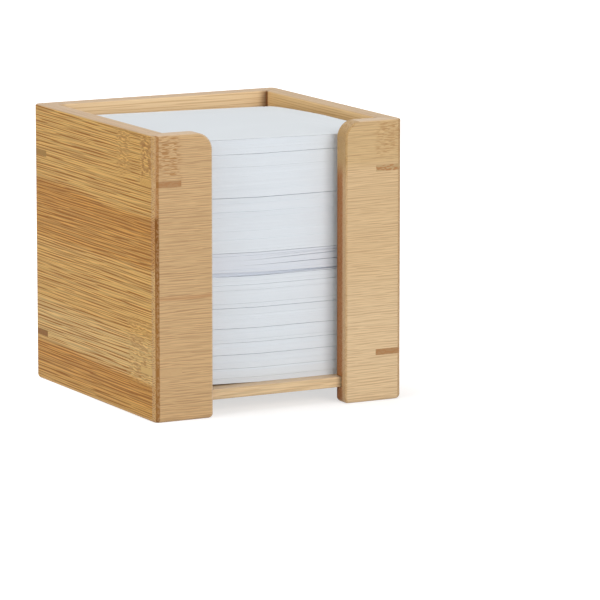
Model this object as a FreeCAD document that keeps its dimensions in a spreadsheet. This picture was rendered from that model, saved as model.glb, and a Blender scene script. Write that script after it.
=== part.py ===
import FreeCAD, Part

import math
import os

import Sketcher
from FreeCAD import Placement, Rotation, Vector

# A memo cube box. Four bamboo sides are mitred and glued at the corners, and the front one is
# left open between two cheeks. Each corner is tied by two spline keys. A thin base panel lies in
# a groove round the inside, and a stack of loose square notes stands on it.
# Millimetres, +Z up. The open front faces -Y. The origin is on the table, under the middle.

SIZES = {
    # the loose notes, sheaf by sheaf from the base panel up
    "note_width": 90.0,
    "note_thickness": 0.1,
    "sheaf_1_notes": 122,
    "sheaf_2_notes": 109,
    "sheaf_3_notes": 85,
    "sheaf_4_notes": 121,
    "sheaf_5_notes": 88,
    "sheaf_6_notes": 230,
    "sheaf_7_notes": 180,
    "sheaf_8_notes": 58,
    # the box, which is made to the notes with some clearance on each side
    "note_clearance": 3.0,
    "wall_thickness": 8.0,
    "box_height": 115.0,
    "cheek_width": 26.0,
    "cheek_corner_radius": 7.0,
    # the softened edges
    "corner_arris": 2.7,
    "rim_arris": 0.8,
    "foot_arris": 1.8,
    # the base panel, and the groove that it lies in
    "base_lift": 6.2,
    "base_thickness": 4.3,
    "base_arris": 0.5,
    "tongue_reach": 3.0,
    "tongue_clearance": 1.6,
    "groove_play": 0.3,
    # the spline keys across the mitred corners
    "key_leg": 12.2,
    "key_thickness": 2.5,
    "key_drop": 19.5,
    "key_rise": 20.2,
}
SHEAVES = 8
QUARTER_TURN = 90
OVERCUT = 1.0
NEAR = 1e-4

doc = FreeCAD.newDocument("MemoCubeBox")


class Length:
    """A length, with the spreadsheet expression that gives it."""

    def __init__(self, value, text):
        self.value = value
        self.text = text

    def __add__(self, other):
        return Length(self.value + as_length(other).value, f"({self.text} + {as_length(other).text})")

    def __sub__(self, other):
        return Length(self.value - as_length(other).value, f"({self.text} - {as_length(other).text})")

    def __mul__(self, factor):
        return Length(self.value * as_length(factor).value, f"{self.text} * {as_length(factor).text}")

    def __truediv__(self, divisor):
        return Length(self.value / divisor, f"{self.text} / {divisor}")

    def __neg__(self):
        return Length(-self.value, f"-1 * {self.text}")


def as_length(number):
    """A Length as it is, and a plain number as a Length."""
    return number if isinstance(number, Length) else Length(number, str(number))


def cell(name):
    """The length in one cell of the spreadsheet."""
    return Length(float(getattr(sheet, name)), f"Sizes.{name}")


def outer_side():
    """The outer width and depth of the box, which is square."""
    return cell("note_width") + (cell("note_clearance") + cell("wall_thickness")) * 2


def base_top():
    """The height of the face that the notes stand on."""
    return cell("base_lift") + cell("base_thickness")


def make_sheet():
    """The driving dimensions, one aliased cell each."""
    table = doc.addObject("Spreadsheet::Sheet", "Sizes")
    for row, (name, value) in enumerate(SIZES.items(), start=1):
        table.set(f"A{row}", name)
        table.set(f"B{row}", str(value))
        table.setAlias(f"B{row}", name)
    doc.recompute()
    return table


# ---------------------------------------------------------------- sketches and features


def new_body(label):
    body = doc.addObject("PartDesign::Body", label)
    body.Label = label
    return body


def new_sketch(body, name, role="XY_Plane", lift=None):
    """A sketch on one of the body's own origin planes, or parallel to it at a height."""
    sketch = body.newObject("Sketcher::SketchObject", name)
    plane = next(item for item in body.Origin.OriginFeatures if item.Role == role)
    sketch.AttachmentSupport = [(plane, "")]
    sketch.MapMode = "FlatFace"
    if lift is not None:
        sketch.setExpression("AttachmentOffset.Base.z", lift.text)
    return sketch


def spot(point):
    """A sketch point as a vector."""
    return Vector(as_length(point[0]).value, as_length(point[1]).value, 0)


def arc_about(start, end, centre):
    """The anticlockwise arc from start to end about centre."""
    from_start = spot(start) - spot(centre)
    from_end = spot(end) - spot(centre)
    circle = Part.Circle(spot(centre), Vector(0, 0, 1), from_start.Length)
    first = math.atan2(from_start.y, from_start.x)
    last = math.atan2(from_end.y, from_end.x)
    return Part.ArcOfCircle(circle, first, last)


def pin(sketch, item, end, point):
    """Hold one end of an outline's piece at a point given by two lengths."""
    for kind, length in zip(("DistanceX", "DistanceY"), point):
        held = sketch.addConstraint(Sketcher.Constraint(kind, item, end, as_length(length).value))
        if isinstance(length, Length):
            sketch.setExpression(f"Constraints[{held}]", length.text)


def draw(sketch, pieces):
    """A closed anticlockwise outline of (start, end, centre) pieces; a line has no centre."""
    for start, end, centre in pieces:
        if centre is None:
            sketch.addGeometry(Part.LineSegment(spot(start), spot(end)), False)
        else:
            sketch.addGeometry(arc_about(start, end, centre), False)
    for item, (start, end, centre) in enumerate(pieces):
        following = (item + 1) % len(pieces)
        sketch.addConstraint(Sketcher.Constraint("Coincident", item, 2, following, 1))
        pin(sketch, item, 1, start)
        if centre is not None:
            radius = cell("corner_arris")
            held = sketch.addConstraint(Sketcher.Constraint("Radius", item, radius.value))
            sketch.setExpression(f"Constraints[{held}]", radius.text)


def polygon(points):
    """The pieces of an outline of straight lines."""
    return [(start, end, None) for start, end in zip(points, points[1:] + points[:1])]


def mirrored(pieces):
    """The same outline on the other side of the sketch's vertical axis, still anticlockwise."""

    def across(point):
        return None if point is None else (-point[0], point[1])

    return [(across(end), across(start), across(centre)) for start, end, centre in reversed(pieces)]


def pad(body, sketch, length, symmetric=False):
    feature = body.newObject("PartDesign::Pad", f"{body.Label}_pad")
    feature.Profile = sketch
    feature.Midplane = symmetric
    feature.setExpression("Length", length.text)
    doc.recompute()
    return feature


def pocket(body, sketch, length=None):
    """A cut to both sides of its sketch: of a length in all, or right through."""
    before = body.Tip.Shape.Volume
    feature = body.newObject("PartDesign::Pocket", sketch.Name + "_cut")
    feature.Profile = sketch
    feature.Midplane = True
    if length is None:
        feature.Type = "ThroughAll"
    else:
        feature.setExpression("Length", length.text)
    doc.recompute()
    if feature.Shape.Volume > before - NEAR:
        raise RuntimeError(f"{feature.Name} cuts nothing")
    return feature


def fillet(body, radius, chosen, name):
    """Round the edges of the body's last feature that a test picks."""
    base = body.Tip
    edges = [f"Edge{number}" for number, edge in enumerate(base.Shape.Edges, start=1) if chosen(edge)]
    if not edges:
        raise RuntimeError(f"{body.Label} has no edge for {name}")
    feature = body.newObject("PartDesign::Fillet", f"{body.Label}_{name}")
    feature.Base = (base, edges)
    feature.setExpression("Radius", radius.text)
    doc.recompute()
    return feature


def near(first, second):
    return abs(first - second) < NEAR


def level_at(edge, height):
    """Whether an edge lies flat at a height."""
    box = edge.BoundBox
    return near(box.ZMin, height.value) and near(box.ZMax, height.value)


def is_mitre(edge):
    """Whether an edge is straight and runs at 45 degrees across the wall."""
    if edge.Curve.TypeId != "Part::GeomLine":
        return False
    run = edge.tangentAt(edge.FirstParameter)
    return near(abs(run.x), abs(run.y)) and near(run.z, 0)


# ---------------------------------------------------------------- the bamboo


def corner_piece():
    """The half of the rounded outer corner that one side keeps, in the corner's own frame.

    The corner is at the origin and the side runs along +x with its outer face on y = 0. The
    arc comes from the mitre, at 45 degrees, round to the face.
    """
    radius = cell("corner_arris")
    slope_point = radius * (1 - math.sqrt(0.5))
    return (slope_point, slope_point), (radius, 0), (radius, radius)


def full_side_plan():
    """A side mitred at both ends: outer face on y = 0, middle at x = 0."""
    reach = outer_side() / 2
    wall = cell("wall_thickness")
    mitre_point, face_point, centre = corner_piece()
    left = [(point[0] - reach, point[1]) for point in (mitre_point, face_point, centre)]
    right = [(reach - point[0], point[1]) for point in (mitre_point, face_point, centre)]
    inner_left = (wall - reach, wall)
    inner_right = (reach - wall, wall)
    return [
        (left[1], right[1], None),
        (right[1], right[0], right[2]),
        (right[0], inner_right, None),
        (inner_right, inner_left, None),
        (inner_left, left[0], None),
        (left[0], left[1], left[2]),
    ]


def cheek_plan():
    """The left cheek: mitred at its outer end and square at its free end."""
    reach = outer_side() / 2
    wall = cell("wall_thickness")
    free_end = cell("cheek_width") - reach
    mitre_point, face_point, centre = corner_piece()
    corner = [(point[0] - reach, point[1]) for point in (mitre_point, face_point, centre)]
    return [
        (corner[1], (free_end, 0), None),
        ((free_end, 0), (free_end, wall), None),
        ((free_end, wall), (wall - reach, wall), None),
        ((wall - reach, wall), corner[0], None),
        (corner[0], corner[1], corner[2]),
    ]


def slot_plan():
    """The triangle that a key slot takes from the right-hand corner of a side."""
    reach = outer_side() / 2
    leg = cell("key_leg")
    out = OVERCUT
    return polygon([(reach - leg - out, -out), (reach + out, -out), (reach + out, leg + out)])


def soften(body):
    """Round a side's rim and foot, inside and out, up to the mitres."""
    rim = cell("box_height")
    floor = Length(0, "0")
    fillet(body, cell("rim_arris"), lambda edge: level_at(edge, rim) and not is_mitre(edge), "rim")
    fillet(body, cell("foot_arris"), lambda edge: level_at(edge, floor) and not is_mitre(edge), "foot")


def cut_groove(body):
    """The groove for the base panel, along the inner face from end to end."""
    wall = cell("wall_thickness")
    inner = wall - cell("tongue_reach") - cell("tongue_clearance")
    low = cell("base_lift")
    high = base_top() + cell("groove_play")
    sketch = new_sketch(body, f"{body.Label}_groove", "YZ_Plane")
    draw(sketch, polygon([(inner, low), (wall + OVERCUT, low), (wall + OVERCUT, high), (inner, high)]))
    pocket(body, sketch)


def key_heights():
    """The heights of the middles of the low and the high keys."""
    return {"low": cell("key_rise"), "high": cell("box_height") - cell("key_drop")}


def cut_slots(body, ends):
    """The key slots at the ends of a side: -1 is its left end and 1 its right end."""
    for level, height in key_heights().items():
        for end in ends:
            side = "left" if end < 0 else "right"
            sketch = new_sketch(body, f"{body.Label}_{side}_{level}_slot", lift=height)
            plan = slot_plan()
            draw(sketch, mirrored(plan) if end < 0 else plan)
            pocket(body, sketch, cell("key_thickness"))


def place(item, turn, x=None, y=None, z=None):
    """Turn a piece about +Z, then bind the place of its origin."""
    item.Placement = Placement(Vector(0, 0, 0), Rotation(Vector(0, 0, 1), turn))
    for axis, length in (("x", x), ("y", y), ("z", z)):
        if length is not None:
            item.setExpression(f"Placement.Base.{axis}", length.text)


def make_side(label, turn, x=None, y=None):
    """A whole side of the box: left, right or back."""
    body = new_body(label)
    sketch = new_sketch(body, f"{label}_plan")
    draw(sketch, full_side_plan())
    pad(body, sketch, cell("box_height"))
    soften(body)
    cut_groove(body)
    cut_slots(body, (-1, 1))
    place(body, turn, x, y)
    return body


def make_cheek(label, hand):
    """A front cheek: hand -1 is the left one and 1 the right one."""
    body = new_body(label)
    sketch = new_sketch(body, f"{label}_plan")
    plan = cheek_plan()
    draw(sketch, mirrored(plan) if hand > 0 else plan)
    pad(body, sketch, cell("box_height"))
    rim = cell("box_height")
    floor = Length(0, "0")
    free_end = (outer_side() / 2 - cell("cheek_width")) * hand

    def at_free_end(edge):
        box = edge.BoundBox
        return near(box.XMin, free_end.value) and near(box.XMax, free_end.value)

    def top_corner(edge):
        return at_free_end(edge) and level_at(edge, rim)

    def foot(edge):
        return level_at(edge, floor) and not is_mitre(edge)

    def outline(edge):
        box = edge.BoundBox
        upright = at_free_end(edge) and box.ZLength > rim.value / 2
        rounded = edge.Curve.TypeId == "Part::GeomCircle" and near(box.YLength, 0)
        return upright or rounded or (level_at(edge, rim) and not is_mitre(edge))

    fillet(body, cell("cheek_corner_radius"), top_corner, "corner")
    fillet(body, cell("rim_arris"), outline, "rim")
    fillet(body, cell("foot_arris"), foot, "foot")
    cut_groove(body)
    cut_slots(body, (hand,))
    place(body, 0, y=outer_side() / -2)
    return body


def make_base():
    """The base panel: its edges reach into the groove on all four sides."""
    body = new_body("base_panel")
    reach = outer_side() / 2 - cell("wall_thickness") + cell("tongue_reach")
    sketch = new_sketch(body, "base_plan", lift=cell("base_lift"))
    draw(sketch, polygon([(-reach, -reach), (reach, -reach), (reach, reach), (-reach, reach)]))
    pad(body, sketch, cell("base_thickness"))

    def front_edge(edge):
        box = edge.BoundBox
        return near(box.YMax, -reach.value) and box.XLength > reach.value

    fillet(body, cell("base_arris"), front_edge, "arris")
    return body


def make_key(label, height, turn, x, y):
    """A spline key: a flat triangle, flush with both faces of its corner."""
    body = new_body(label)
    leg = cell("key_leg")
    radius = cell("corner_arris")
    sketch = new_sketch(body, f"{label}_plan")
    draw(sketch, [
        ((radius, 0), (leg, 0), None),
        ((leg, 0), (0, leg), None),
        ((0, leg), (0, radius), None),
        ((0, radius), (radius, 0), (radius, radius)),
    ])
    pad(body, sketch, cell("key_thickness"), symmetric=True)
    place(body, turn, x, y, height)
    return body


# ---------------------------------------------------------------- the notes


def make_notes(label, bottom, thickness):
    """A square sheaf of notes, or one note, lying at a height in the middle of the box."""
    notes = doc.addObject("Part::Box", label)
    notes.Label = label
    side = cell("note_width")
    notes.setExpression("Length", side.text)
    notes.setExpression("Width", side.text)
    notes.setExpression("Height", thickness.text)
    place(notes, 0, side / -2, side / -2, bottom)
    return notes


def make_stack():
    """The sheaves of notes, each on the one below, and the top note on the last."""
    pieces = []
    level = base_top()
    for number in range(1, SHEAVES + 1):
        height = cell(f"sheaf_{number}_notes") * cell("note_thickness")
        pieces.append(make_notes(f"note_sheaf_{number}", level, height))
        level = level + height
    pieces.append(make_notes("top_note", level, cell("note_thickness")))
    return pieces


# ---------------------------------------------------------------- the whole box


def make_box():
    reach = outer_side() / 2
    pieces = [
        make_side("back_side", 2 * QUARTER_TURN, y=reach),
        make_side("left_side", -QUARTER_TURN, x=-reach),
        make_side("right_side", QUARTER_TURN, x=reach),
        make_cheek("front_left_cheek", -1),
        make_cheek("front_right_cheek", 1),
        make_base(),
    ]
    corners = {
        "front_left": (0, -reach, -reach),
        "front_right": (1, reach, -reach),
        "back_right": (2, reach, reach),
        "back_left": (3, -reach, reach),
    }
    for corner, (turns, x, y) in corners.items():
        for level, height in key_heights().items():
            pieces.append(make_key(f"key_{corner}_{level}", height, turns * QUARTER_TURN, x, y))
    return pieces


def check(pieces):
    """Stop if any object failed, or a piece isn't one valid solid."""
    for item in doc.Objects:
        if "Invalid" in item.State or "Error" in item.State:
            raise RuntimeError(f"{item.Name} failed: {item.State}")
    for piece in pieces:
        shape = piece.Shape
        if shape.isNull() or not shape.isValid() or len(shape.Solids) != 1:
            raise RuntimeError(f"{piece.Label} isn't one valid solid")


def export(pieces):
    os.makedirs("parts", exist_ok=True)
    for piece in pieces:
        piece.Shape.exportStep(f"parts/{piece.Label}.step")


sheet = make_sheet()
pieces = make_box() + make_stack()
doc.recompute()
check(pieces)
export(pieces)
print(f"{len(pieces)} pieces written")
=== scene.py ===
"""Dresses the bamboo memo box: finishes for its panels and keys, and the paper that fills it."""

import math
import random
from collections import namedtuple

import bmesh
import bpy
from bpy.props import (
    FloatProperty,
    FloatVectorProperty,
    IntProperty,
    PointerProperty,
)
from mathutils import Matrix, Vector


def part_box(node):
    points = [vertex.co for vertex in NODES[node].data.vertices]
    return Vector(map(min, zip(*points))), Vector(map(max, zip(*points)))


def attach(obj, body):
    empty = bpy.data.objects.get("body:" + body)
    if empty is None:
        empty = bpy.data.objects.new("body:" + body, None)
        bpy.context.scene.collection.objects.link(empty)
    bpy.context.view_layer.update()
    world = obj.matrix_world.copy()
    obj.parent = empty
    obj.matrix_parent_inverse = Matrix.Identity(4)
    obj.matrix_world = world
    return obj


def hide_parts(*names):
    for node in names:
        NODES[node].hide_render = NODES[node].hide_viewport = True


bl_info = {
    "name": "Bamboo Memo Box",
    "version": (1, 0, 0),
    "blender": (4, 5, 0),
    "location": "3D View > Sidebar > Memo Box",
    "description": "Finishes a keyed bamboo memo box and stacks its notes",
    "category": "Object",
}

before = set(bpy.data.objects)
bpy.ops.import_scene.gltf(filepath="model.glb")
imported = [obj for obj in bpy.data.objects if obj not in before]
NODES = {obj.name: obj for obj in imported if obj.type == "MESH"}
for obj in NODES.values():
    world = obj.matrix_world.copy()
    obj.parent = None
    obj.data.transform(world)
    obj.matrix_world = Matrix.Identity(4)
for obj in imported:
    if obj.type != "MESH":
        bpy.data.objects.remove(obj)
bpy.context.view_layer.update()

MM = 0.001
SIDE_LOW, SIDE_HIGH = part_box("left_side")
RIM_HEIGHT = SIDE_HIGH.z / MM
OUTER = -SIDE_LOW.x / MM  # from the middle to the walls' outer faces, in mm
INNER = 1.0 - SIDE_HIGH.x / MM  # and to where their inside begins, 1 mm behind the inner faces

# Each pull is how strongly a tone covers what is under it, from 0 to 1. A knuckle's centre, reach and
# cell size are in mm on the grain's axes.
Knuckle = namedtuple("Knuckle", "centre reach cell pull")
# The side of the grain's axis that the end looks to, the least turn towards it, its tones by height,
# their pull and, if it starts at one, the depth through the board in mm.
End = namedtuple("End", "side start tones pull depth", defaults=(None,))
# An inner corner's dark line, a joint with painted shade spreading from it, starts reach mm before
# INNER and is full from sharp mm before it.
Joint = namedtuple("Joint", "reach sharp pull")

ARRIS = ((0, "arris"),)
BOTH_ARRISES = tuple(End(side, 0.1, ARRIS, 0.5) for side in (-1, 1))
WOOD_GLOSS = 0.22
PAPER_GLOSS = 0.3


def linear(level):
    """One display channel, 0 to 255, as a linear value."""
    share = level / 255
    return share / 12.92 if share <= 0.04045 else ((share + 0.055) / 1.055) ** 2.4


def shade(red, green, blue):
    """A display colour as a linear one."""
    return (linear(red), linear(green), linear(blue))


def colour(name, note, value):
    return FloatVectorProperty(
        name=name, description=note, subtype="COLOR", size=3, min=0, max=1, default=value
    )


def length(name, note, value):
    return FloatProperty(name=name, description=note, unit="LENGTH", min=0, default=value)


class BambooSettings(bpy.types.PropertyGroup):
    """Tones of the bamboo's strips, fibre, edges and ends."""

    wheat: colour("Wheat", "Top strip of the right cheek", shade(205, 173, 126))
    cream: colour("Cream", "Middle strips of the right cheek", shade(212, 181, 138))
    # Straw is also a painted highlight down the right cheek's free end, at its front arris.
    straw: colour("Straw", "Strips of the left cheek, and pale arrises", shade(201, 166, 121))
    oat: colour("Oat", "Pale strips of the sides", shade(211, 173, 104))
    honey: colour("Honey", "Plain strips of the sides", shade(208, 162, 82))
    amber: colour("Amber", "Warm strips of the sides", shade(200, 146, 58))
    rust: colour("Rust", "Darkest strips of the left side", shade(195, 137, 44))
    fibre: colour("Fibre", "Dark fibre dashes of the sides and the base", shade(153, 93, 0))
    thread: colour("Thread", "Softer dashes of the cheeks", shade(150, 108, 72))
    seam: colour("Seam", "Upper part of the joint at the rounded corner", shade(164, 116, 64))
    knuckle: colour("Knuckle", "The mottle where a culm's node crosses", shade(150, 94, 24))
    end_grain: colour("End grain", "Cut ends of the cheeks and of the keys", shade(166, 103, 50))
    ochre: colour("Ochre", "Top of the right cheek's free end", shade(186, 150, 98))
    # Corner also paints shade down the right cheek's free end, at its back arris.
    corner: colour("Corner", "Darkest of the front corner, and the groove's end", shade(126, 78, 24))
    blush: colour("Blush", "Patches by the rounded front corner", shade(186, 142, 98))
    inside: colour("Inside", "Inner faces of the two sides", shade(231, 193, 138))
    # Painted light: the back's inner face gets a lighter tone than the sides' insides, for the light
    # that falls on it from the front.
    back_inside_lit: colour("Shelter", "Inner face of the back", shade(239, 208, 165))
    arris: colour("Arris", "Rounded corners, and the lower part of the front one", shade(150, 104, 50))
    milk: colour("Milk", "Lowest strip of the right cheek, and the base", shade(220, 191, 150))
    ledge: colour("Ledge", "Tops of the left side and the back", shade(203, 175, 144))
    sill: colour("Sill", "Top of the right side", shade(196, 166, 132))
    rim: colour("Rim", "Tops of the cheeks and the base", shade(213, 186, 154))
    # Glue also darkens the sides' inner corners: a joint line with painted shade spreading from it.
    glue_and_shade: colour("Glue", "Joint lines, and fibre in the cut ends", shade(120, 72, 34))


class KeySettings(bpy.types.PropertyGroup):
    """Tones of the slips that lock the corners."""

    brown: colour("Brown", "The darker keys of the front", shade(172, 132, 90))
    olive: colour("Olive", "The right cheek's high key", shade(186, 156, 113))
    moss: colour("Moss", "The left side's high back key, and plain keys", shade(160, 120, 50))
    dusk: colour("Dusk", "The left side's low back key", shade(136, 90, 14))


class PaperSettings(bpy.types.PropertyGroup):
    """The notes and how neatly they lie."""

    sheet: colour("Sheet", "Paper seen flat", shade(229, 234, 238))
    edge: colour("Edge", "Cut edges of the stack", shade(225, 231, 237))
    cool: colour("Cool edge", "Cut edges of the looser notes", shade(221, 226, 234))
    skew: length("Skew", "How far one bundle lies out of line", 0.00012)
    curl: length("Curl", "Lift of the stack's left end", 0.0013)
    seed: IntProperty(name="Seed", description="Arrangement of the bundles", default=7)


class StageSettings(bpy.types.PropertyGroup):
    """Camera and floor."""

    bearing: FloatProperty(
        name="Bearing", description="Camera's turn round the box", subtype="ANGLE",
        default=math.radians(-28.014),
    )
    rise: FloatProperty(
        name="Rise", description="Camera's height angle", subtype="ANGLE",
        default=math.radians(9.960),
    )
    distance: length("Distance", "From the aim point to the camera", 1.9379)
    aim: FloatVectorProperty(
        name="Aim", description="Point that the camera looks at", subtype="TRANSLATION",
        default=(0.038924, 0.000097, 0.033405),
    )
    lens: FloatProperty(name="Lens", description="Focal length in mm", default=280.4)
    floor_size: length("Floor", "Side of the floor", 6.0)


SETTINGS = {
    "bamboo": BambooSettings,
    "keys": KeySettings,
    "paper": PaperSettings,
    "stage": StageSettings,
}


def settings(kind):
    return getattr(bpy.context.scene, "memo_box_" + kind)


class Bench:
    """Lays nodes into one tree and joins them up."""

    def __init__(self, tree):
        self.tree = tree

    def lay(self, kind, feeds=(), **traits):
        node = self.tree.nodes.new(kind)
        for trait, value in traits.items():
            setattr(node, trait, value)
        for socket, value in dict(feeds).items():
            self.feed(node.inputs[socket], value)
        return node

    def feed(self, socket, value):
        if isinstance(value, bpy.types.NodeSocket):
            self.tree.links.new(value, socket)
        else:
            socket.default_value = value

    def maths(self, operation, *values):
        return self.lay("ShaderNodeMath", enumerate(values), operation=operation).outputs[0]

    def times(self, value, *others):
        """The product of values, such as masks."""
        for other in others:
            value = self.maths("MULTIPLY", value, other)
        return value

    def vector_maths(self, operation, one, other):
        return self.lay("ShaderNodeVectorMath", {0: one, 1: other}, operation=operation).outputs[0]

    def vector(self, x, y, z):
        return self.lay("ShaderNodeCombineXYZ", {"X": x, "Y": y, "Z": z}).outputs[0]

    def stretch(self, x, y, z, *rates):
        """A place with each axis scaled by a rate: how often a noise on it changes in a mm."""
        return self.vector(*(self.times(axis, rate) for axis, rate in zip((x, y, z), rates)))

    def split(self, vector):
        return self.lay("ShaderNodeSeparateXYZ", {"Vector": vector}).outputs

    def step(self, value, low, high, to_low=0.0, to_high=1.0):
        """Turns value's run from low to high into a smooth one between two levels."""
        node = self.lay(
            "ShaderNodeMapRange",
            {"Value": value, "From Min": low, "From Max": high, "To Min": to_low, "To Max": to_high},
            interpolation_type="SMOOTHSTEP",
        )
        return node.outputs[0]

    def noise(self, vector, detail=1.0, roughness=0.5):
        node = self.lay(
            "ShaderNodeTexNoise",
            {"Vector": vector, "Scale": 1.0, "Detail": detail, "Roughness": roughness},
        )
        return node.outputs["Fac"]

    def mix(self, factor, one, other, blend="MIX"):
        node = self.lay("ShaderNodeMix", data_type="RGBA", blend_type=blend)
        # Of its sockets, 6 and 7 take the colours, and 2 gives one.
        for socket, value in zip((0, 6, 7), (factor, one, other)):
            self.feed(node.inputs[socket], opaque(value))
        return node.outputs[2]


def opaque(value):
    """Adds the fourth channel that a colour socket wants."""
    if isinstance(value, (bpy.types.NodeSocket, float, int)):
        return value
    return (*value[:3], 1.0)


def new_group(name, inputs, outputs):
    """A shader node group whose sockets are (name, kind, default)."""
    tree = bpy.data.node_groups.new(name, "ShaderNodeTree")
    for socket, kind, default in inputs:
        made = tree.interface.new_socket(socket, in_out="INPUT", socket_type="NodeSocket" + kind)
        if default is not None:
            made.default_value = default
    for socket, kind in outputs:
        tree.interface.new_socket(socket, in_out="OUTPUT", socket_type="NodeSocket" + kind)
    bench = Bench(tree)
    return bench, bench.lay("NodeGroupInput").outputs, bench.lay("NodeGroupOutput").inputs


def place_group(bench, name, feeds):
    return bench.lay("ShaderNodeGroup", feeds, node_tree=bpy.data.node_groups[name]).outputs


def weave_fibre_group():
    """Bamboo's fibre: dashes, fine lines and broad tone along X, in mm."""
    bench, given, made = new_group(
        "Bamboo Fibre",
        (
            ("Position", "Vector", None),
            ("Seed", "Float", 0.0),
            ("Dash Length", "Float", 30.0),
            ("Dash Height", "Float", 0.45),
            ("Cover", "Float", 0.5),
        ),
        (("Dashes", "Float"), ("Lines", "Float"), ("Tone", "Float"), ("Height", "Float")),
    )
    seed_step = 371.0  # mm along the grain from one seed's fibre to the next
    stray = 0.5  # mm that the fibre wanders up the board
    x, y, z = bench.split(given["Position"])
    x = bench.maths("MULTIPLY_ADD", given["Seed"], seed_step, x)
    wander = bench.noise(bench.stretch(x, y, z, 0.02, 0.05, 0.1))
    z = bench.maths("MULTIPLY_ADD", wander, stray, z)
    across = bench.maths("DIVIDE", 1.0, given["Dash Height"])
    along = bench.maths("DIVIDE", 1.0, given["Dash Length"])

    def streaks(start, rise):
        """Noise less the same noise a few dash heights up, so only what changes quickly is left."""
        higher = bench.maths("MULTIPLY_ADD", given["Dash Height"], rise, z)
        one, other = (
            bench.noise(
                bench.vector(
                    bench.maths("MULTIPLY_ADD", x, along, start),
                    bench.times(y, across),
                    bench.times(level, across),
                ),
                detail=0.0,
            )
            for level in (z, higher)
        )
        return bench.maths("SUBTRACT", one, other)

    # A dash shows where the streaks rise over an edge, which lies lower with more cover and in clumps.
    bare_edge = 0.27
    cover_drop = 0.3
    clump_drop = 0.1
    softness = 0.12
    clump = bench.noise(bench.stretch(x, y, z, 0.02, 0.2, 0.25))
    edge = bench.maths("MULTIPLY_ADD", given["Cover"], -cover_drop, bare_edge)
    edge = bench.maths("MULTIPLY_ADD", clump, -clump_drop, edge)
    dashes = bench.step(streaks(start=0.0, rise=1.6), edge, bench.maths("ADD", edge, softness))
    lines = bench.maths("ADD", streaks(start=57.0, rise=1.2), 0.5)
    tone = bench.noise(bench.stretch(x, y, z, 0.012, 0.12, 0.2), detail=2)
    line_height = 0.4
    dash_depth = 0.6
    height = bench.maths("SUBTRACT", bench.times(lines, line_height), bench.times(dashes, dash_depth))
    for socket, value in zip(("Dashes", "Lines", "Tone", "Height"), (dashes, lines, tone, height)):
        bench.feed(made[socket], value)


def weave_knuckle_group():
    """The mottle where a culm's node crosses a strip: a ragged mask round a centre, and short cells."""
    bench, given, made = new_group(
        "Bamboo Knuckle",
        (
            ("Position", "Vector", None),
            ("Centre", "Vector", None),
            ("Reach", "Vector", (8.0, 20.0, 10.0)),
            ("Cell", "Vector", (1.0, 1.0, 1.0)),
        ),
        (("Mask", "Float"), ("Cells", "Float")),
    )
    raggedness = 1.2
    outside, within = 1.85, 1.15  # raggedness included, in reaches from the centre
    cell_edge = (0.48, 0.56)
    away = bench.vector_maths("SUBTRACT", given["Position"], given["Centre"])
    share = bench.vector_maths("DIVIDE", away, given["Reach"])
    far = [bench.maths("ABSOLUTE", part) for part in bench.split(share)]
    far = bench.maths("MAXIMUM", bench.maths("MAXIMUM", far[0], far[1]), far[2])
    ragged = bench.noise(bench.stretch(*bench.split(given["Position"]), 0.2, 0.5, 0.5))
    distance = bench.maths("MULTIPLY_ADD", ragged, raggedness, far)
    bench.feed(made["Mask"], bench.step(distance, outside, within))
    cell = bench.vector_maths("DIVIDE", given["Position"], given["Cell"])
    bench.feed(made["Cells"], bench.step(bench.noise(cell), *cell_edge))


def weave_leaf_group():
    """Cut edges of stacked notes: fine lines level with the sheets, in mm."""
    bench, given, made = new_group(
        "Leaf Lines",
        (("Position", "Vector", None), ("Seed", "Float", 0.0)),
        (("Lines", "Float"), ("Height", "Float")),
    )
    seed_step = 11.3  # mm up the stack
    fine_share = 0.65
    broad_share = 0.35
    x, y, z = bench.split(given["Position"])
    shifted = bench.maths("MULTIPLY_ADD", given["Seed"], seed_step, z)
    fine = bench.noise(bench.stretch(x, y, shifted, 0.012, 0.012, 2.6), detail=2, roughness=0.7)
    broad = bench.noise(bench.stretch(x, y, shifted, 0.01, 0.01, 0.55))
    lines = bench.maths("ADD", bench.times(fine, fine_share), bench.times(broad, broad_share))
    bench.feed(made["Lines"], lines)
    bench.feed(made["Height"], fine)


def new_material(name):
    """An empty material: its bench, its Principled BSDF and its position in mm."""
    material = bpy.data.materials.new(name)
    material.use_nodes = True
    bench = Bench(material.node_tree)
    surface = material.node_tree.nodes["Principled BSDF"]
    where = bench.lay("ShaderNodeTexCoord").outputs["Object"]
    scaled = bench.lay("ShaderNodeVectorMath", {0: where, "Scale": 1 / MM}, operation="SCALE")
    return material, bench, surface, scaled.outputs[0]


def set_surface(bench, surface, tint, roughness, gloss, height, bump, depth=0.1):
    """Feeds a Principled BSDF its colour, roughness, gloss and bump; depth is the bump's, in mm."""
    bench.feed(surface.inputs["Base Color"], tint)
    bench.feed(surface.inputs["Roughness"], roughness)
    surface.inputs["Specular IOR Level"].default_value = gloss
    relief = bench.lay("ShaderNodeBump", {"Height": height, "Strength": bump, "Distance": depth * MM})
    bench.feed(surface.inputs["Normal"], relief.outputs[0])


def brighten(bench, tint, level):
    """A tint made lighter or darker by a level."""
    return bench.mix(1.0, tint, bench.vector(level, level, level), "MULTIPLY")


def place_fibre(bench, where, seed, cover, dash):
    """The fibre effect, with dashes of a (length, height) in mm."""
    return place_group(
        bench, "Bamboo Fibre",
        {
            "Position": where, "Seed": seed, "Cover": cover,
            "Dash Length": dash[0], "Dash Height": dash[1],
        },
    )


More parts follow.
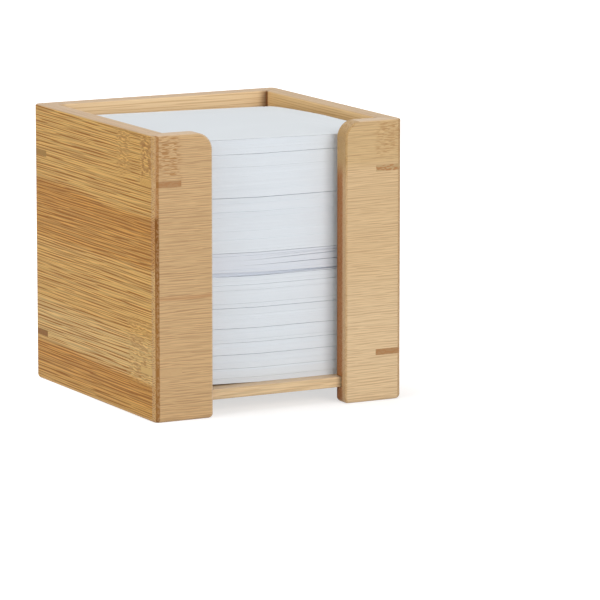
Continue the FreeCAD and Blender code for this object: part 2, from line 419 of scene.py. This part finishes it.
def strip_tones(bench, height, strips):
    """Tones by height; strips are (height in mm, tone's name), and tones blend from one to the next."""
    bamboo = settings("bamboo")
    if len(strips) == 1:
        return getattr(bamboo, strips[0][1])
    ramp = bench.lay("ShaderNodeValToRGB", {"Fac": bench.maths("DIVIDE", height, RIM_HEIGHT)})
    stops = ramp.color_ramp.elements
    while len(stops) < len(strips):
        stops.new(0.5)
    for stop, (level, tone) in zip(stops, strips):
        stop.position = level / RIM_HEIGHT
        stop.color = opaque(getattr(bamboo, tone))
    return ramp.outputs["Color"]


def grain_frame(bench, where, along):
    """The place along, through and up a board, then how far a face looks along it and up."""
    x, y, z = bench.split(where)
    look = bench.split(bench.lay("ShaderNodeNewGeometry").outputs["True Normal"])
    run, through, facing = (x, y, look["X"]) if along == "X" else (y, x, look["Y"])
    return run, through, z, facing, look["Z"]


def place_knuckles(bench, grain, knuckles):
    """The effect at each knuckle, and one mask over them all."""
    knots, anywhere = [], 0.0
    for knuckle in knuckles:
        knot = place_group(
            bench, "Bamboo Knuckle",
            {"Position": grain, "Centre": knuckle.centre, "Reach": knuckle.reach, "Cell": knuckle.cell},
        )
        knots.append((knot, knuckle.pull))
        anywhere = bench.maths("MAXIMUM", knot["Mask"], anywhere)
    return knots, anywhere


def thicken(bench, cover, dense, level):
    """A cover of dashes, raised in each (low, high) band of heights in mm."""
    fade = 2  # mm
    more = 0.25
    for low, high in dense:
        band = bench.times(
            bench.step(level, low - fade, low + fade), bench.step(level, high + fade, high - fade)
        )
        cover = bench.maths("MULTIPLY_ADD", band, more, cover)
    return cover


def tint_ends(bench, tint, ends, grain, dashes):
    """Lays the tones of cut ends over a tint, each over the one before, thinly at the pores."""
    run, through, z, facing, _ = grain
    soft_turn = 0.1
    soft_depth = 0.7  # mm
    fibre_pull = 0.4
    pore_pull = 0.68
    pore_edge = (0.42, 0.58)
    pores = bench.noise(bench.stretch(run, through, z, 1.2, 1.2, 0.8))
    pores = bench.step(pores, *pore_edge, 1.0, pore_pull)
    for end in ends:
        turn = bench.times(facing, end.side)
        cut = bench.times(bench.step(turn, end.start, end.start + soft_turn), pores)
        if end.depth is not None:
            deep = bench.step(through, end.depth - soft_depth, end.depth + soft_depth)
            cut = bench.times(cut, deep)
        tones = strip_tones(bench, z, end.tones)
        tone = bench.mix(bench.times(dashes, fibre_pull), tones, settings("bamboo").glue_and_shade)
        tint = bench.mix(bench.times(cut, end.pull), tint, tone)
    return tint


# The tones that lie over the strips: how strongly they cover, and how much of the fibre they hide.
INSIDE_PULL = 0.9
INSIDE_CALM = 0.6
KNUCKLE_CALM = 0.5
TOP_PULL = 0.75
TOP_TURN = (0.4, 0.75)  # how far up a face looks where the top's tone begins, and where it is full
LINE_RANGE = (0.3, 0.7)  # of the lines that the fibre and leaf effects give
TONE_RANGE = (0.25, 0.75)
TONE_SWING = 0.02
HEIGHT_RANGE = (-0.4, 0.4)
ROUGHNESS = (0.52, 0.42)  # where the fibre lies lowest, and highest
# The fibre, in mm.
SWIRL = 2.0  # how far a knuckle bends it, from lowest to highest
STRIP_SWAY = 6.0  # how far the strips' edges stray, from lowest to highest
SHORT_COVER = 0.55
SHORT_DASH = (3.5, 0.5)


def bamboo_finish(
    name, along, strips, seed, knuckles=(), slant=0.0, cover=0.5, strength=0.75, dash=(45.0, 0.34),
    lines=0.1, dense=(), inner=None, inner_tone="inside", joint=Joint(1.8, 0.9, 0.75), ends=(),
    thread="fibre", top="rim",
):
    """Satin bamboo. along is the grain's axis, and strips rise by slant on the way along it.
    thread is the tone of the dashes, cover and strength are how close and how dark they are, and
    dash is their length and height in mm; dense are the bands of heights with more of them.
    lines is how much the fine fibre darkens. Knuckles bend the fibre and shorten its dashes.
    inner is how far from the middle, in mm, inner_tone begins, and joint darkens its corners with a
    joint line and painted shade beside it.
    ends lie over the rest, each over the one before, and top is the tone of faces that look up."""
    bamboo = settings("bamboo")
    material, bench, surface, where = new_material(name)
    grain = grain_frame(bench, where, along)
    run, through, z, _, up = grain
    level = bench.maths("MULTIPLY_ADD", run, slant, z)
    cover = thicken(bench, cover, dense, level)

    knots, near_knot = place_knuckles(bench, bench.vector(run, through, z), knuckles)
    swirl = bench.noise(bench.stretch(run, through, z, 0.22, 0.22, 0.3))
    bend = bench.times(bench.maths("SUBTRACT", swirl, 0.5), near_knot)
    bent = bench.vector(run, through, bench.maths("MULTIPLY_ADD", bend, SWIRL, z))
    fibre = place_fibre(bench, bent, seed, cover, dash)
    dashes = fibre["Dashes"]
    if knuckles:
        short = place_fibre(bench, bent, seed + 0.5, SHORT_COVER, SHORT_DASH)
        change = bench.maths("SUBTRACT", short["Dashes"], dashes)
        dashes = bench.maths("MULTIPLY_ADD", change, near_knot, dashes)
    marks = bench.times(dashes, strength)

    sway = bench.maths("SUBTRACT", fibre["Tone"], 0.5)
    tint = strip_tones(bench, bench.maths("MULTIPLY_ADD", sway, STRIP_SWAY, level), strips)
    shine = bench.times(
        bench.step(fibre["Tone"], *TONE_RANGE, 1 - TONE_SWING, 1 + TONE_SWING),
        bench.step(fibre["Lines"], *LINE_RANGE, 1 - lines, 1 + lines),
    )
    tint = brighten(bench, tint, shine)
    if inner is not None:
        inside = bench.step(bench.maths("ABSOLUTE", through), inner + 1.0, inner)
        tint = bench.mix(bench.times(inside, INSIDE_PULL), tint, getattr(bamboo, inner_tone))
        marks = bench.times(marks, bench.maths("MULTIPLY_ADD", inside, -INSIDE_CALM, 1.0))
    for knot, pull in knots:
        marks = bench.times(marks, bench.maths("MULTIPLY_ADD", knot["Mask"], -KNUCKLE_CALM, 1.0))
        tint = bench.mix(bench.times(knot["Mask"], knot["Cells"], pull), tint, bamboo.knuckle)
    tint = bench.mix(marks, tint, getattr(bamboo, thread))
    if inner is not None:
        # The inner corners darken: a dark joint line, with painted shade spreading from it.
        across = bench.maths("ABSOLUTE", run)
        corner = bench.step(across, inner - joint.reach, inner - joint.sharp)
        tint = bench.mix(bench.times(inside, corner, joint.pull), tint, bamboo.glue_and_shade)
    tint = bench.mix(bench.times(bench.step(up, *TOP_TURN), TOP_PULL), tint, getattr(bamboo, top))
    tint = tint_ends(bench, tint, ends, grain, fibre["Dashes"])
    roughness = bench.step(fibre["Height"], *HEIGHT_RANGE, *ROUGHNESS)
    set_surface(bench, surface, tint, roughness, WOOD_GLOSS, fibre["Height"], bump=0.2)
    return material


def side_finish(name, along, strips, seed, lines=0.16, ends=BOTH_ARRISES, **traits):
    """The bamboo of a side, with its calmer inside."""
    return bamboo_finish(name, along, strips, seed, lines=lines, ends=ends, inner=INNER, **traits)


def cheek_finish(name, strips, seed, **traits):
    """The bamboo of a front cheek, whose dashes are short, sparse and soft."""
    return bamboo_finish(
        name, "X", strips, seed, cover=0.38, dash=(12.0, 0.3), thread="thread", **traits
    )


def key_finish(name, side_tones, front_tones, seed, mottle=0.28, swap=0.71):
    """A bamboo slip; each of its two faces has a tone and another for its part of the rounded corner,
    and swap is the turn at which the front gives way to the side."""
    front_round = (0.12, 0.22)
    side_round = (0.97, 0.999)
    soft_turn = 0.05
    material, bench, surface, where = new_material(name)
    fibre = place_fibre(bench, where, seed, cover=0.8, dash=(1.6, 0.6))
    look = bench.split(bench.lay("ShaderNodeNewGeometry").outputs["True Normal"])
    turn = bench.maths("ABSOLUTE", look["X"])
    front = bench.mix(bench.step(turn, *front_round), *front_tones)
    side = bench.mix(bench.step(turn, *side_round), *reversed(side_tones))
    tint = bench.mix(bench.step(turn, swap - soft_turn, swap + soft_turn), front, side)
    tint = bench.mix(bench.times(fibre["Dashes"], mottle), tint, settings("bamboo").end_grain)
    roughness = 0.5
    set_surface(bench, surface, tint, roughness, WOOD_GLOSS, fibre["Height"], bump=0.25)
    return material


def paper_finish(name, tone, seed, contrast=0.022):
    """Uncoated paper with its sheets showing as fine level lines."""
    material, bench, surface, where = new_material(name)
    leaves = place_group(bench, "Leaf Lines", {"Position": where, "Seed": seed})
    shine = bench.step(leaves["Lines"], *LINE_RANGE, 1 - contrast, 1 + contrast)
    tint = brighten(bench, tone, shine)
    roughness = 0.85
    set_surface(bench, surface, tint, roughness, PAPER_GLOSS, leaves["Height"], bump=0.2, depth=0.05)
    return material


def finish_node(name, material):
    """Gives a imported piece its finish."""
    for slot in NODES[name].material_slots:
        slot.material = material


# The top notes, in mm.
TOP_DIP = 0.45  # how far their middle lies below level
FOLD = -24.0  # from here to the right they fall steeply, and before it gently
STEEP = 0.0175
GENTLE = 0.01
GENTLE_REACH = 20  # of the gentle slope, to the left of the fold
EDGE_CURL = 2.8  # lift of the right edge's front half
CURL_ACROSS = (30, 15)  # the curl begins this far right of the middle, and is full so much further
CURL_BEND = 2  # the power that it rises by
CURL_BACK = (42, 50)  # it ends this far back, and is full so much further forward
CURL_FADE = 0.45


def clamp(value):
    """A value held between 0 and 1."""
    return min(max(value, 0.0), 1.0)


def stack_lift(x, y):
    """How far the curl raises the notes at a place, in metres: none but to the left of the middle."""
    flat, rising = 0.004, 0.041
    return settings("paper").curl * clamp((-x - flat) / rising)


def top_fall(x, y):
    """How far the top notes lie from level at a place, in metres."""
    across = x / MM
    slope = STEEP * max(across, FOLD) - min(max(FOLD - across, 0), GENTLE_REACH) * GENTLE
    forward = clamp((CURL_BACK[0] - y / MM) / CURL_BACK[1]) ** CURL_FADE
    edge = clamp((across - CURL_ACROSS[0]) / CURL_ACROSS[1]) ** CURL_BEND
    return (-TOP_DIP - slope + EDGE_CURL * forward * edge) * MM


SIDE_STEPS = 30  # points along each side of an outline


def ring(bounds, level, inset, place, lift):
    """One outline of a bundle of notes, corner by corner; level and lift add up to its height."""
    (x0, y0), (x1, y1) = bounds
    dx, dy = place
    points = []
    corners = ((x0, y0), (x1, y0), (x1, y1), (x0, y1))
    signs = ((1, 1), (-1, 1), (-1, -1), (1, -1))
    for n in range(4):
        (ax, ay), (bx, by) = corners[n], corners[(n + 1) % 4]
        (sx, sy), (ex, ey) = signs[n], signs[(n + 1) % 4]
        for step in range(SIDE_STEPS):
            share = step / SIDE_STEPS
            x = ax + (bx - ax) * share + inset * (sx + (ex - sx) * share) + dx
            y = ay + (by - ay) * share + inset * (sy + (ey - sy) * share) + dy
            points.append(Vector((x, y, level(x) + lift(x, y))))
    return points


# Each parting in the stack: height and opening in mm, lean (-1 opens to the left, 1 to the right), and
# rise in mm from the middle to the stack's right side.
Parting = namedtuple("Parting", "height gap lean rise")
PARTINGS = tuple(Parting(*row) for row in (
    (12.7, 0.08, 0.0, 0.0), (16.5, 0.12, -0.3, 0.0), (18.9, 0.03, 0.0, 0.0), (26.95, 0.12, 0.0, 0.0),
    (28.3, 0.03, 0.0, 0.0), (36.4, 0.03, 0.0, 0.0), (38.4, 0.03, 0.3, 0.0), (42.9, 0.06, 0.0, 0.0),
    (48.28, 0.07, 0.0, 0.0), (50.4, 0.08, 0.5, 0.0), (52.0, 0.03, 0.0, 0.0), (54.75, 1.2, -0.75, 0.0),
    (56.9, 0.04, 0.0, 0.3), (58.3, 0.12, 2.5, 0.3), (60.5, 0.1, 2.8, 0.9), (61.6, 0.06, 2.5, 1.0),
    (62.3, 0.06, 0.0, 0.4), (64.6, 0.02, 0.0, 0.0), (68.8, 0.04, 0.0, 0.0), (72.3, 0.03, 0.0, 0.0),
    (73.7, 0.03, 0.0, 0.0), (80.0, 0.06, -0.8, 0.0), (90.1, 0.02, 0.0, 0.0), (94.3, 0.03, 0.0, 0.0),
    (98.1, 0.05, 0.0, 0.0), (106.0, 0.03, 0.0, 0.0),
))
# Where each sheaf ends and the opening above it, in mm.
SHEAF_TOPS = (
    (22.1, 0.06), (32.8, 0.06), (41.1, 0.06), (53.95, 0.08),
    (63.4, 0.06), (85.7, 0.11), (103.3, 0.06), (109.8, 0.0),
)
LOOSER_SHEAF = 5  # its edges look cooler
# The bundles of a sheaf and the openings between them, in mm.
THINNEST = 0.5
THICKEST = 1.6
THICKEST_LOWEST = 1.3
END_INSET = 0.25  # a sheaf's first and last outlines lie this far in, and more at an opening
END_SPREAD = 4  # times the opening there
END_ROUND = 0.06  # height over which they reach the full outline
END_AIR = 0.02  # under the next sheaf
DEEP = 0.3  # an opening taller than this is a bundle pushed in, not a slit
PUSHED_IN = 1.2
PINCH = 0.03  # how much such an opening narrows inwards, above and below
SLIT_DEPTH = 6  # times the slit's opening
LEAST_SHARE = 0.15  # of an opening, at the side that its lean closes
LEAST_RISE = 0.01  # from a parting's middle to the bundle above it


def draw_cuts(low, high, rng):
    """The partings within a sheaf, and plain cuts drawn between them."""
    partings = [parting for parting in PARTINGS if low < parting.height < high]
    cuts = []
    level = low + rng.uniform(THINNEST, THICKEST_LOWEST)
    while level < high - THINNEST:
        if all(abs(level - parting.height) > THINNEST for parting in partings):
            cuts.append(Parting(level, 0.0, 0.0, 0.0))
        level += rng.uniform(THINNEST, THICKEST)
    return sorted(cuts + partings)


def build_sheaf(number, low, high, rng):
    """A sheaf of notes between two (height, opening) ends: one closed skin, its bundles out of line."""
    (low, mouth_below), (high, mouth_above) = low, high
    floor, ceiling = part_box(f"note_sheaf_{number}")
    bounds = ((floor.x, floor.y), (ceiling.x, ceiling.y))
    skew = settings("paper").skew
    cuts = draw_cuts(low, high, rng)

    def draw_place():
        return rng.uniform(-skew, skew), rng.uniform(-skew, skew)

    def add(height, inset):
        rings.append(ring(bounds, lambda x: height(x) * MM, inset * MM, place, stack_lift))

    def middle(x):
        return cut.height + cut.rise * x / ceiling.x

    def half_gap(x):
        return cut.gap * max(LEAST_SHARE, 1 + cut.lean * x / ceiling.x) / 2

    rings, place = [], draw_place()
    add(lambda x: low, END_INSET + END_SPREAD * mouth_below)
    add(lambda x: low + END_ROUND + mouth_below / 2, 0.0)
    for cut in cuts:
        add(lambda x: middle(x) - half_gap(x), 0.0)
        if cut.gap > DEEP:
            add(lambda x: middle(x) - half_gap(x) + PINCH, PUSHED_IN)
            add(lambda x: middle(x) + half_gap(x) - PINCH, PUSHED_IN)
        elif cut.gap:
            add(middle, SLIT_DEPTH * cut.gap)
        place = draw_place()
        add(lambda x: middle(x) + max(half_gap(x), LEAST_RISE), 0.0)
    add(lambda x: high - END_ROUND - mouth_above / 2, 0.0)
    add(lambda x: high - END_AIR, END_INSET + END_SPREAD * mouth_above)
    mesh = skin(rings)
    if number == len(SHEAF_TOPS):
        for vert in mesh.verts:
            share = clamp((vert.co.z / MM - low) / (high - low))
            fall = top_fall(vert.co.x, vert.co.y) - stack_lift(vert.co.x, vert.co.y)
            vert.co.z += fall * share
    return finish_mesh(mesh, f"paper_sheaf_{number}")


def skin(rings):
    """A closed skin over outlines, lowest first."""
    mesh = bmesh.new()
    loops = [[mesh.verts.new(point) for point in points] for points in rings]
    for below, above in zip(loops, loops[1:]):
        for n in range(len(below)):
            m = (n + 1) % len(below)
            mesh.faces.new((below[n], below[m], above[m], above[n]))
    cap(mesh, loops[-1], up=True)
    cap(mesh, loops[0], up=False)
    return mesh


def cap(mesh, loop, up):
    """Closes a ring of notes with a grid that bends as the ring does."""
    n = SIDE_STEPS
    front = loop[0 : n + 1]
    right = loop[n : 2 * n + 1]
    back = loop[2 * n : 3 * n + 1][::-1]
    left = (loop[3 * n :] + loop[:1])[::-1]
    grid = [front]
    for row in range(1, n):
        share = row / n
        line = [left[row]]
        for column in range(1, n):
            across = column / n
            flat = front[column].co.lerp(back[column].co, share)
            side = left[row].co.lerp(right[row].co, across)
            corner = (
                front[0].co.lerp(front[n].co, across)
                .lerp(back[0].co.lerp(back[n].co, across), share)
            )
            line.append(mesh.verts.new(flat + side - corner))
        line.append(right[row])
        grid.append(line)
    grid.append(back)
    for row, above in zip(grid, grid[1:]):
        for column in range(n):
            square = (row[column], row[column + 1], above[column + 1], above[column])
            mesh.faces.new(square if up else square[::-1])


def finish_mesh(mesh, name):
    """Turns a bmesh into an object of the scene."""
    bmesh.ops.recalc_face_normals(mesh, faces=mesh.faces)
    data = bpy.data.meshes.new(name)
    mesh.to_mesh(data)
    mesh.free()
    piece = bpy.data.objects.new(name, data)
    bpy.context.scene.collection.objects.link(piece)
    return piece


def settle(piece, material, body, slot, *nodes):
    """Gives a piece its finish and ties it to the frame."""
    piece.data.materials.append(material)
    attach(piece, body)
    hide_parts(*nodes)


# The stage, in metres.
SENSOR_WIDTH = 36.0  # in mm
CLIP_END = 50.0
LAMPS = (  # name, place, size and power in watts
    ("lamp_front", (0.25, -1.38, 0.6), 0.75, 9.0),
    ("lamp_side", (-1.4, -0.3, 0.8), 1.1, 7.5),
    ("lamp_top", (0.0, 0.2, 1.5), 1.2, 6.0),
)
LAMP_TARGET = Vector((0, 0, 0.05))
SKY_LIGHT = 0.4  # the sky is white to look at, and lights the box this much
# The floor too is white to look at, but for a soft shade about the box's front.
SHADE_CENTRE = (0.015, -0.05, 0.0)
SHADE_EDGE = (0.03, 0.12)
SHADE_LEVEL = 0.62


class StageOperator(bpy.types.Operator):
    """Sets the camera, the lamps, the sky and the floor"""

    bl_idname = "memo_box.set_stage"
    bl_label = "Set the Stage"

    def execute(self, context):
        stage = settings("stage")
        scene = context.scene
        lens = bpy.data.cameras.new("camera")
        lens.lens = stage.lens
        lens.sensor_width = SENSOR_WIDTH
        lens.clip_end = CLIP_END
        camera = bpy.data.objects.new("camera", lens)
        back = Vector((
            math.sin(stage.bearing) * math.cos(stage.rise),
            -math.cos(stage.bearing) * math.cos(stage.rise),
            math.sin(stage.rise),
        ))
        camera.location = Vector(stage.aim) + back * stage.distance
        camera.rotation_euler = back.to_track_quat("Z", "Y").to_euler()
        scene.collection.objects.link(camera)
        scene.camera = camera
        self.hang_lamps(scene)
        self.paint_sky(scene)
        self.lay_floor(stage)
        scene.view_settings.view_transform = "Standard"
        return {"FINISHED"}

    def hang_lamps(self, scene):
        for name, spot, size, power in LAMPS:
            light = bpy.data.lights.new(name, "AREA")
            light.size = size
            light.energy = power
            lamp = bpy.data.objects.new(name, light)
            lamp.location = spot
            away = Vector(spot) - LAMP_TARGET
            lamp.rotation_euler = away.to_track_quat("Z", "Y").to_euler()
            scene.collection.objects.link(lamp)

    def paint_sky(self, scene):
        world = bpy.data.worlds.new("sky")
        scene.world = world
        world.use_nodes = True
        bench = Bench(world.node_tree)
        world.node_tree.nodes.clear()
        strength = bench.step(self.seen_directly(bench), 0.0, 1.0, SKY_LIGHT, 1.0)
        sky = bench.lay("ShaderNodeBackground", {"Color": (1, 1, 1, 1), "Strength": strength})
        bench.lay("ShaderNodeOutputWorld", {"Surface": sky.outputs[0]})

    def seen_directly(self, bench):
        path = bench.lay("ShaderNodeLightPath").outputs
        seen = bench.maths("MAXIMUM", path["Is Camera Ray"], path["Is Glossy Ray"])
        return bench.maths("MAXIMUM", seen, path["Is Transmission Ray"])

    def lay_floor(self, stage):
        half = stage.floor_size / 2
        mesh = bmesh.new()
        corners = ((-half, -half), (half, -half), (half, half), (-half, half))
        mesh.faces.new([mesh.verts.new((x, y, 0)) for x, y in corners])
        floor = finish_mesh(mesh, "floor")
        material = bpy.data.materials.new("floor_white")
        material.use_nodes = True
        bench = Bench(material.node_tree)
        material.node_tree.nodes.clear()
        matt = bench.lay("ShaderNodeBsdfDiffuse", {"Color": (0.8, 0.8, 0.8, 1)})
        dim = bench.lay("ShaderNodeBsdfDiffuse", {"Color": (0.5, 0.5, 0.5, 1)})
        where = bench.lay("ShaderNodeTexCoord").outputs["Object"]
        away = bench.vector_maths("SUBTRACT", where, SHADE_CENTRE)
        away = bench.lay("ShaderNodeVectorMath", {0: away}, operation="LENGTH").outputs["Value"]
        white = bench.step(away, *SHADE_EDGE, SHADE_LEVEL, 1.0)
        glow = bench.lay("ShaderNodeEmission", {"Color": (1, 1, 1, 1), "Strength": white})
        lit = bench.lay("ShaderNodeAddShader", {0: dim.outputs[0], 1: glow.outputs[0]})
        choice = bench.lay(
            "ShaderNodeMixShader",
            {0: self.seen_directly(bench), 1: matt.outputs[0], 2: lit.outputs[0]},
        )
        bench.lay("ShaderNodeOutputMaterial", {"Surface": choice.outputs[0]})
        floor.data.materials.append(material)


class EffectOperator(bpy.types.Operator):
    """Makes the fibre, knuckle and leaf effects that the finishes share"""

    bl_idname = "memo_box.weave_effects"
    bl_label = "Weave the Effects"

    def execute(self, context):
        weave_fibre_group()
        weave_knuckle_group()
        weave_leaf_group()
        return {"FINISHED"}


class SideOperator(bpy.types.Operator):
    """Finishes the left, right and back sides"""

    bl_idname = "memo_box.finish_sides"
    bl_label = "Finish the Sides"

    def execute(self, context):
        left = (
            (0, "honey"), (8.5, "amber"), (15.5, "rust"), (17.8, "oat"), (30, "oat"), (36, "honey"),
            (59.5, "honey"), (62, "amber"), (72, "amber"), (76, "rust"), (82, "rust"), (84.5, "honey"),
        )
        front_end = (
            (0, "straw"), (60, "straw"), (64, "blush"), (80, "blush"), (84, "straw"), (112, "straw"),
        )
        finish_node("left_side", side_finish(
            "bamboo_left", "Y", left, 1.0, slant=-0.02, strength=1.0, lines=0.22, dash=(32.0, 0.34),
            dense=((7, 17), (61, 83)), top="ledge",
            knuckles=(
                Knuckle((-29, -OUTER, 107), (6, 20, 9), (3.0, 3.0, 0.8), 0.4),
                Knuckle((-50, -OUTER, 106), (6, 20, 9), (2.2, 2.2, 1.2), 0.7),
                Knuckle((-43, -OUTER, 26), (10, 20, 12), (5.0, 5.0, 2.2), 0.35),
            ),
            ends=(End(-1, 0.03, front_end, 0.85), BOTH_ARRISES[1]),
        ))
        right = (
            (0, "honey"), (20, "honey"), (22, "amber"), (44, "amber"), (46, "oat"),
            (74, "oat"), (77, "honey"), (100, "honey"), (112, "oat"),
        )
        finish_node("right_side", side_finish(
            "bamboo_right", "Y", right, 2.0, slant=0.012, dense=((21, 45),), top="sill",
            # The right side's inner corners: a joint line with painted shade spreading from it.
            joint=Joint(3.5, 2.5, 0.9),
            knuckles=(Knuckle((18, OUTER, 60), (8, 20, 14), (2.2, 2.2, 0.6), 0.35),),
        ))
        back = (
            (0, "oat"), (28, "oat"), (30, "honey"), (55, "honey"), (57.5, "amber"),
            (78, "amber"), (80, "oat"), (113, "honey"),
        )
        finish_node("back_side", side_finish(
            "bamboo_back", "X", back, 3.0, slant=0.01, dense=((56, 79),), top="ledge",
            # The back's inner corners: a joint line with painted shade spreading 5 mm from it.
            # The back's inside takes the lighter tone, which is painted light.
            inner_tone="back_inside_lit", joint=Joint(5.0, 0.9, 0.6),
            knuckles=(Knuckle((-20, OUTER, 40), (8, 20, 12), (2.2, 2.2, 0.6), 0.35),),
        ))
        return {"FINISHED"}


class CheekOperator(bpy.types.Operator):
    """Finishes the two front cheeks"""

    bl_idname = "memo_box.finish_cheeks"
    bl_label = "Finish the Cheeks"

    def execute(self, context):
        left = (
            (0, "straw"), (12, "straw"), (48.5, "straw"), (49.5, "blush"), (50.5, "straw"),
            (112, "straw"),
        )
        seam = (
            (0, "arris"), (36, "arris"), (66, "corner"), (82, "corner"), (83, "seam"), (112, "seam"),
        )
        corner = (*seam[:4], (83, "blush"), (112, "straw"))
        finish_node("front_left_cheek", cheek_finish(
            "bamboo_left_cheek", left, 4.0, strength=0.42,
            knuckles=(Knuckle((-49.5, -OUTER, 107), (5.5, 20, 9.0), (3.5, 3.5, 0.5), 0.6),),
            ends=(
                End(-1, 0.12, seam, 1.0),
                End(-1, 0.5, corner, 1.0),
                End(1, 0.05, ((0, "rim"),), 1.0),
                End(1, 0.85, ((0, "end_grain"),), 0.8),
            ),
        ))
        right = (
            (0, "milk"), (36, "milk"), (60, "cream"), (96, "cream"), (98.5, "wheat"), (112, "wheat"),
        )
        free_end = ((0, "end_grain"), (92, "end_grain"), (99, "ochre"))
        groove = (
            (0, "end_grain"), (5.4, "end_grain"), (6.2, "corner"), (10.6, "corner"),
            (11.4, "end_grain"), *free_end[1:],
        )
        # Painted shade down the free end's back arris, beside the gap behind the cheek.
        inner_arris_shade = ((0, "corner"), (90, "corner"), (99, "ochre"))
        # A painted highlight: pale straw down the free end's front arris.
        outer_arris_highlight = ((0, "straw"), (90, "straw"), (99, "ochre"))
        finish_node("front_right_cheek", cheek_finish(
            "bamboo_right_cheek", right, 5.0, strength=0.32, lines=0.07,
            knuckles=(Knuckle((50, -OUTER, 108), (6, 20, 7), (3.5, 3.5, 0.5), 0.45),),
            ends=(
                End(1, 0.25, ARRIS, 0.6),
                End(-1, 0.05, outer_arris_highlight, 1.0),
                End(-1, 0.85, free_end, 0.95, depth=2.8 - OUTER),
                End(-1, 0.85, groove, 1.0, depth=3.5 - OUTER),
                End(-1, 0.05, inner_arris_shade, 0.9, depth=6.8 - OUTER),
            ),
        ))
        return {"FINISHED"}


class BaseOperator(bpy.types.Operator):
    """Finishes the base panel"""

    bl_idname = "memo_box.finish_base"
    bl_label = "Finish the Base"

    def execute(self, context):
        finish_node("base_panel", bamboo_finish(
            "bamboo_base", "X", ((0, "milk"),), 6.0, cover=0.4, strength=0.2, dash=(16.0, 0.55),
        ))
        return {"FINISHED"}


class KeyOperator(bpy.types.Operator):
    """Finishes the eight keys in the corners"""

    bl_idname = "memo_box.finish_keys"
    bl_label = "Finish the Keys"

    def execute(self, context):
        bamboo, keys = settings("bamboo"), settings("keys")
        plain = (keys.moss, keys.moss)
        faces = {
            "front_left_high": ((bamboo.honey, bamboo.straw), (keys.brown, bamboo.arris)),
            "front_left_low": ((bamboo.oat, bamboo.straw), (bamboo.straw, bamboo.arris)),
            "front_right_high": (plain, (keys.olive, keys.olive)),
            "front_right_low": (plain, (keys.brown, keys.brown)),
            "back_left_low": ((keys.dusk, keys.dusk), plain),
        }
        traits = {
            "front_left_high": {"swap": 0.55},
            "front_left_low": {"mottle": 0.05},
            "front_right_high": {"mottle": 0.6},
        }
        first_seed = 20.0
        for number, name in enumerate(n for n in sorted(NODES) if n.startswith("key_")):
            corner = name.removeprefix("key_")
            side, front = faces.get(corner, (plain, plain))
            finish_node(name, key_finish(
                "bamboo_" + name, side, front, first_seed + number, **traits.get(corner, {})
            ))
        return {"FINISHED"}


class SheafOperator(bpy.types.Operator):
    """Stacks the eight sheaves of notes"""

    bl_idname = "memo_box.stack_sheaves"
    bl_label = "Stack the Sheaves"

    def execute(self, context):
        paper = settings("paper")
        rng = random.Random(paper.seed)
        low = (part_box("note_sheaf_1")[0].z / MM, 0.0)
        for number, high in enumerate(SHEAF_TOPS, start=1):
            tone = paper.cool if number == LOOSER_SHEAF else paper.edge
            piece = build_sheaf(number, low, high, rng)
            settle(
                piece, paper_finish(f"paper_edges_{number}", tone, float(number)),
                f"sheaf_{number}", "paper", f"note_sheaf_{number}",
            )
            low = high
        return {"FINISHED"}


class NoteOperator(bpy.types.Operator):
    """Lays the loose note on top"""

    bl_idname = "memo_box.lay_top_note"
    bl_label = "Lay the Top Note"

    def execute(self, context):
        floor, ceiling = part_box("top_note")
        bounds = ((floor.x, floor.y), (ceiling.x, ceiling.y))
        air = 0.02 * MM

        def lift(x, y):
            return top_fall(x, y) + air

        mesh = skin([
            ring(bounds, lambda x: level, 0.0, (0, 0), lift) for level in (floor.z, ceiling.z)
        ])
        settle(
            finish_mesh(mesh, "paper_top_note"),
            paper_finish("paper_sheet", settings("paper").sheet, 9.0, contrast=0.01),
            "loose_note", "paper", "top_note",
        )
        return {"FINISHED"}


OPERATORS = (
    StageOperator, EffectOperator, SideOperator, CheekOperator,
    BaseOperator, KeyOperator, SheafOperator, NoteOperator,
)


class MemoBoxPanel(bpy.types.Panel):
    """Lists the steps and the settings of the memo box"""

    bl_idname = "VIEW3D_PT_memo_box"
    bl_label = "Memo Box"
    bl_space_type = "VIEW_3D"
    bl_region_type = "UI"
    bl_category = "Memo Box"

    def draw(self, context):
        for operator in OPERATORS:
            self.layout.operator(operator.bl_idname)
        for kind in SETTINGS:
            box = self.layout.box()
            group = settings(kind)
            for name in group.__annotations__:
                box.prop(group, name)


CLASSES = (*SETTINGS.values(), *OPERATORS, MemoBoxPanel)


def register():
    for each in CLASSES:
        bpy.utils.register_class(each)
    for kind, each in SETTINGS.items():
        setattr(bpy.types.Scene, "memo_box_" + kind, PointerProperty(type=each))


def unregister():
    for kind in SETTINGS:
        delattr(bpy.types.Scene, "memo_box_" + kind)
    for each in reversed(CLASSES):
        bpy.utils.unregister_class(each)


def main():
    register()
    for operator in OPERATORS:
        group, name = operator.bl_idname.split(".")
        getattr(getattr(bpy.ops, group), name)()


if __name__ == "__main__":
    main()
